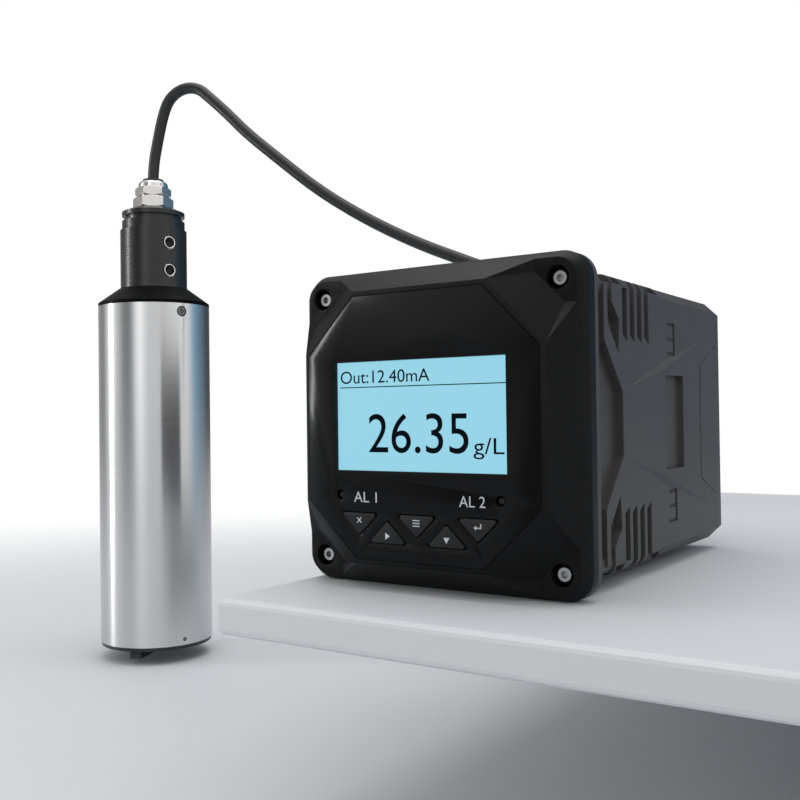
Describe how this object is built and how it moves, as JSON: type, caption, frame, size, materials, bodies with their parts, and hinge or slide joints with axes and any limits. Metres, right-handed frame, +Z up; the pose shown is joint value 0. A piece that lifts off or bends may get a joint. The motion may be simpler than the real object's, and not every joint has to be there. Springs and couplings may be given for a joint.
{
  "type": "suspended solids meter",
  "caption": "Panel-mounting controller with display and push keys, cabled to a steel immersion probe that has an optical head and a turning wiper.",
  "frame": {"origin": "centre of the panel face, the rear of the controller's flange, on the housing's axis", "axes": "+X right as the display is read, +Y back through the panel along the housing, +Z up along the probe's axis"},
  "size_m": [0.3358, 0.2035, 0.3125],
  "materials": {
    "charcoal_plastic": "fine matt texture",
    "black_satin_plastic": "satin",
    "black_gloss_lens": "gloss",
    "key_rubber": "matt",
    "display_glass": "clear",
    "backlight_white": "satin",
    "display_frame_steel": "satin",
    "circuit_board": "satin",
    "lamp_red": "clear",
    "lamp_amber": "clear",
    "screw_steel": "bright",
    "insert_brass": "satin",
    "seal_rubber": "matt",
    "guide_plastic": "satin",
    "switch_plastic": "matt",
    "terminal_plastic": "satin",
    "transformer_core": "satin",
    "capacitor_sleeve": "satin",
    "strip_grey": "satin",
    "stainless_tube": "brushed",
    "black_acetal": "matt",
    "gland_nickel": "bright",
    "steel_dark": "dark",
    "optic_glass": "clear",
    "detector_can": "bright",
    "motor_steel": "satin",
    "cable_jacket": "satin",
    "core_insulation": "satin"
  },
  "bodies": {
    "meter": {"board_screws": "screw_steel", "board_spacers": "screw_steel", "cable_cores": "core_insulation", "cable_tail": "cable_jacket", "cap_seal": "seal_rubber", "case_inserts": "insert_brass", "case_shell": "charcoal_plastic", "cover_gasket": "seal_rubber", "cover_screws": "screw_steel", "display_board": "circuit_board", "emitter_led": "optic_glass", "filter_capacitors": "capacitor_sleeve", "front_bezel": "black_satin_plastic", "gland_body": "gland_nickel", "gland_nut": "gland_nickel", "gland_seal": "seal_rubber", "head_pins": "steel_dark", "head_seal": "seal_rubber", "key_guide": "guide_plastic", "lcd_backlight": "backlight_white", "lcd_frame": "display_frame_steel", "lcd_glass": "display_glass", "led_high": "lamp_red", "led_low": "lamp_amber", "lens_panel": "black_gloss_lens", "main_board": "circuit_board", "motor_mount": "motor_steel", "neck_inserts": "gland_nickel", "optic_windows": "optic_glass", "optical_head": "black_acetal", "output_relays": "switch_plastic", "photodiodes": "detector_can", "power_board": "circuit_board", "power_transformer": "transformer_core", "probe_board": "circuit_board", "probe_cap": "black_acetal", "probe_collar": "black_acetal", "probe_neck": "black_acetal", "probe_sleeve": "stainless_tube", "rear_cover": "charcoal_plastic", "rear_screws": "screw_steel", "ribbon_cable": "strip_grey", "sensor_cable": "cable_jacket", "shaft_seal": "seal_rubber", "sleeve_screws": "steel_dark", "tact_switches": "switch_plastic", "terminal_block_lower": "terminal_plastic", "terminal_block_upper": "terminal_plastic", "terminal_screws": "screw_steel", "wiper_motor": "motor_steel"},
    "key_cancel": {"key_cancel": "key_rubber"},
    "key_right": {"key_right": "key_rubber"},
    "key_menu": {"key_menu": "key_rubber"},
    "key_down": {"key_down": "key_rubber"},
    "key_enter": {"key_enter": "key_rubber"},
    "wiper": {"wiper_shaft": "motor_steel", "wiper_arm": "black_acetal", "wiper_blade": "seal_rubber", "wiper_screw": "screw_steel"}
  },
  "joints": [
    {"name": "key_cancel_press", "type": "slide", "parent": "meter", "child": "key_cancel", "axis": [0, 1, 0], "range_m": [0, 0.0006], "stiffness_N_per_m": 1500},
    {"name": "key_right_press", "type": "slide", "parent": "meter", "child": "key_right", "axis": [0, 1, 0], "range_m": [0, 0.0006], "stiffness_N_per_m": 1500},
    {"name": "key_menu_press", "type": "slide", "parent": "meter", "child": "key_menu", "axis": [0, 1, 0], "range_m": [0, 0.0006], "stiffness_N_per_m": 1500},
    {"name": "key_down_press", "type": "slide", "parent": "meter", "child": "key_down", "axis": [0, 1, 0], "range_m": [0, 0.0006], "stiffness_N_per_m": 1500},
    {"name": "key_enter_press", "type": "slide", "parent": "meter", "child": "key_enter", "axis": [0, 1, 0], "range_m": [0, 0.0006], "stiffness_N_per_m": 1500},
    {"name": "wiper_turn", "type": "hinge", "parent": "meter", "child": "wiper", "pos_m": [-0.2558, 0.1112, -0.1185], "axis": [0, 0, 1], "range_deg": [0, 180]}
  ]
}
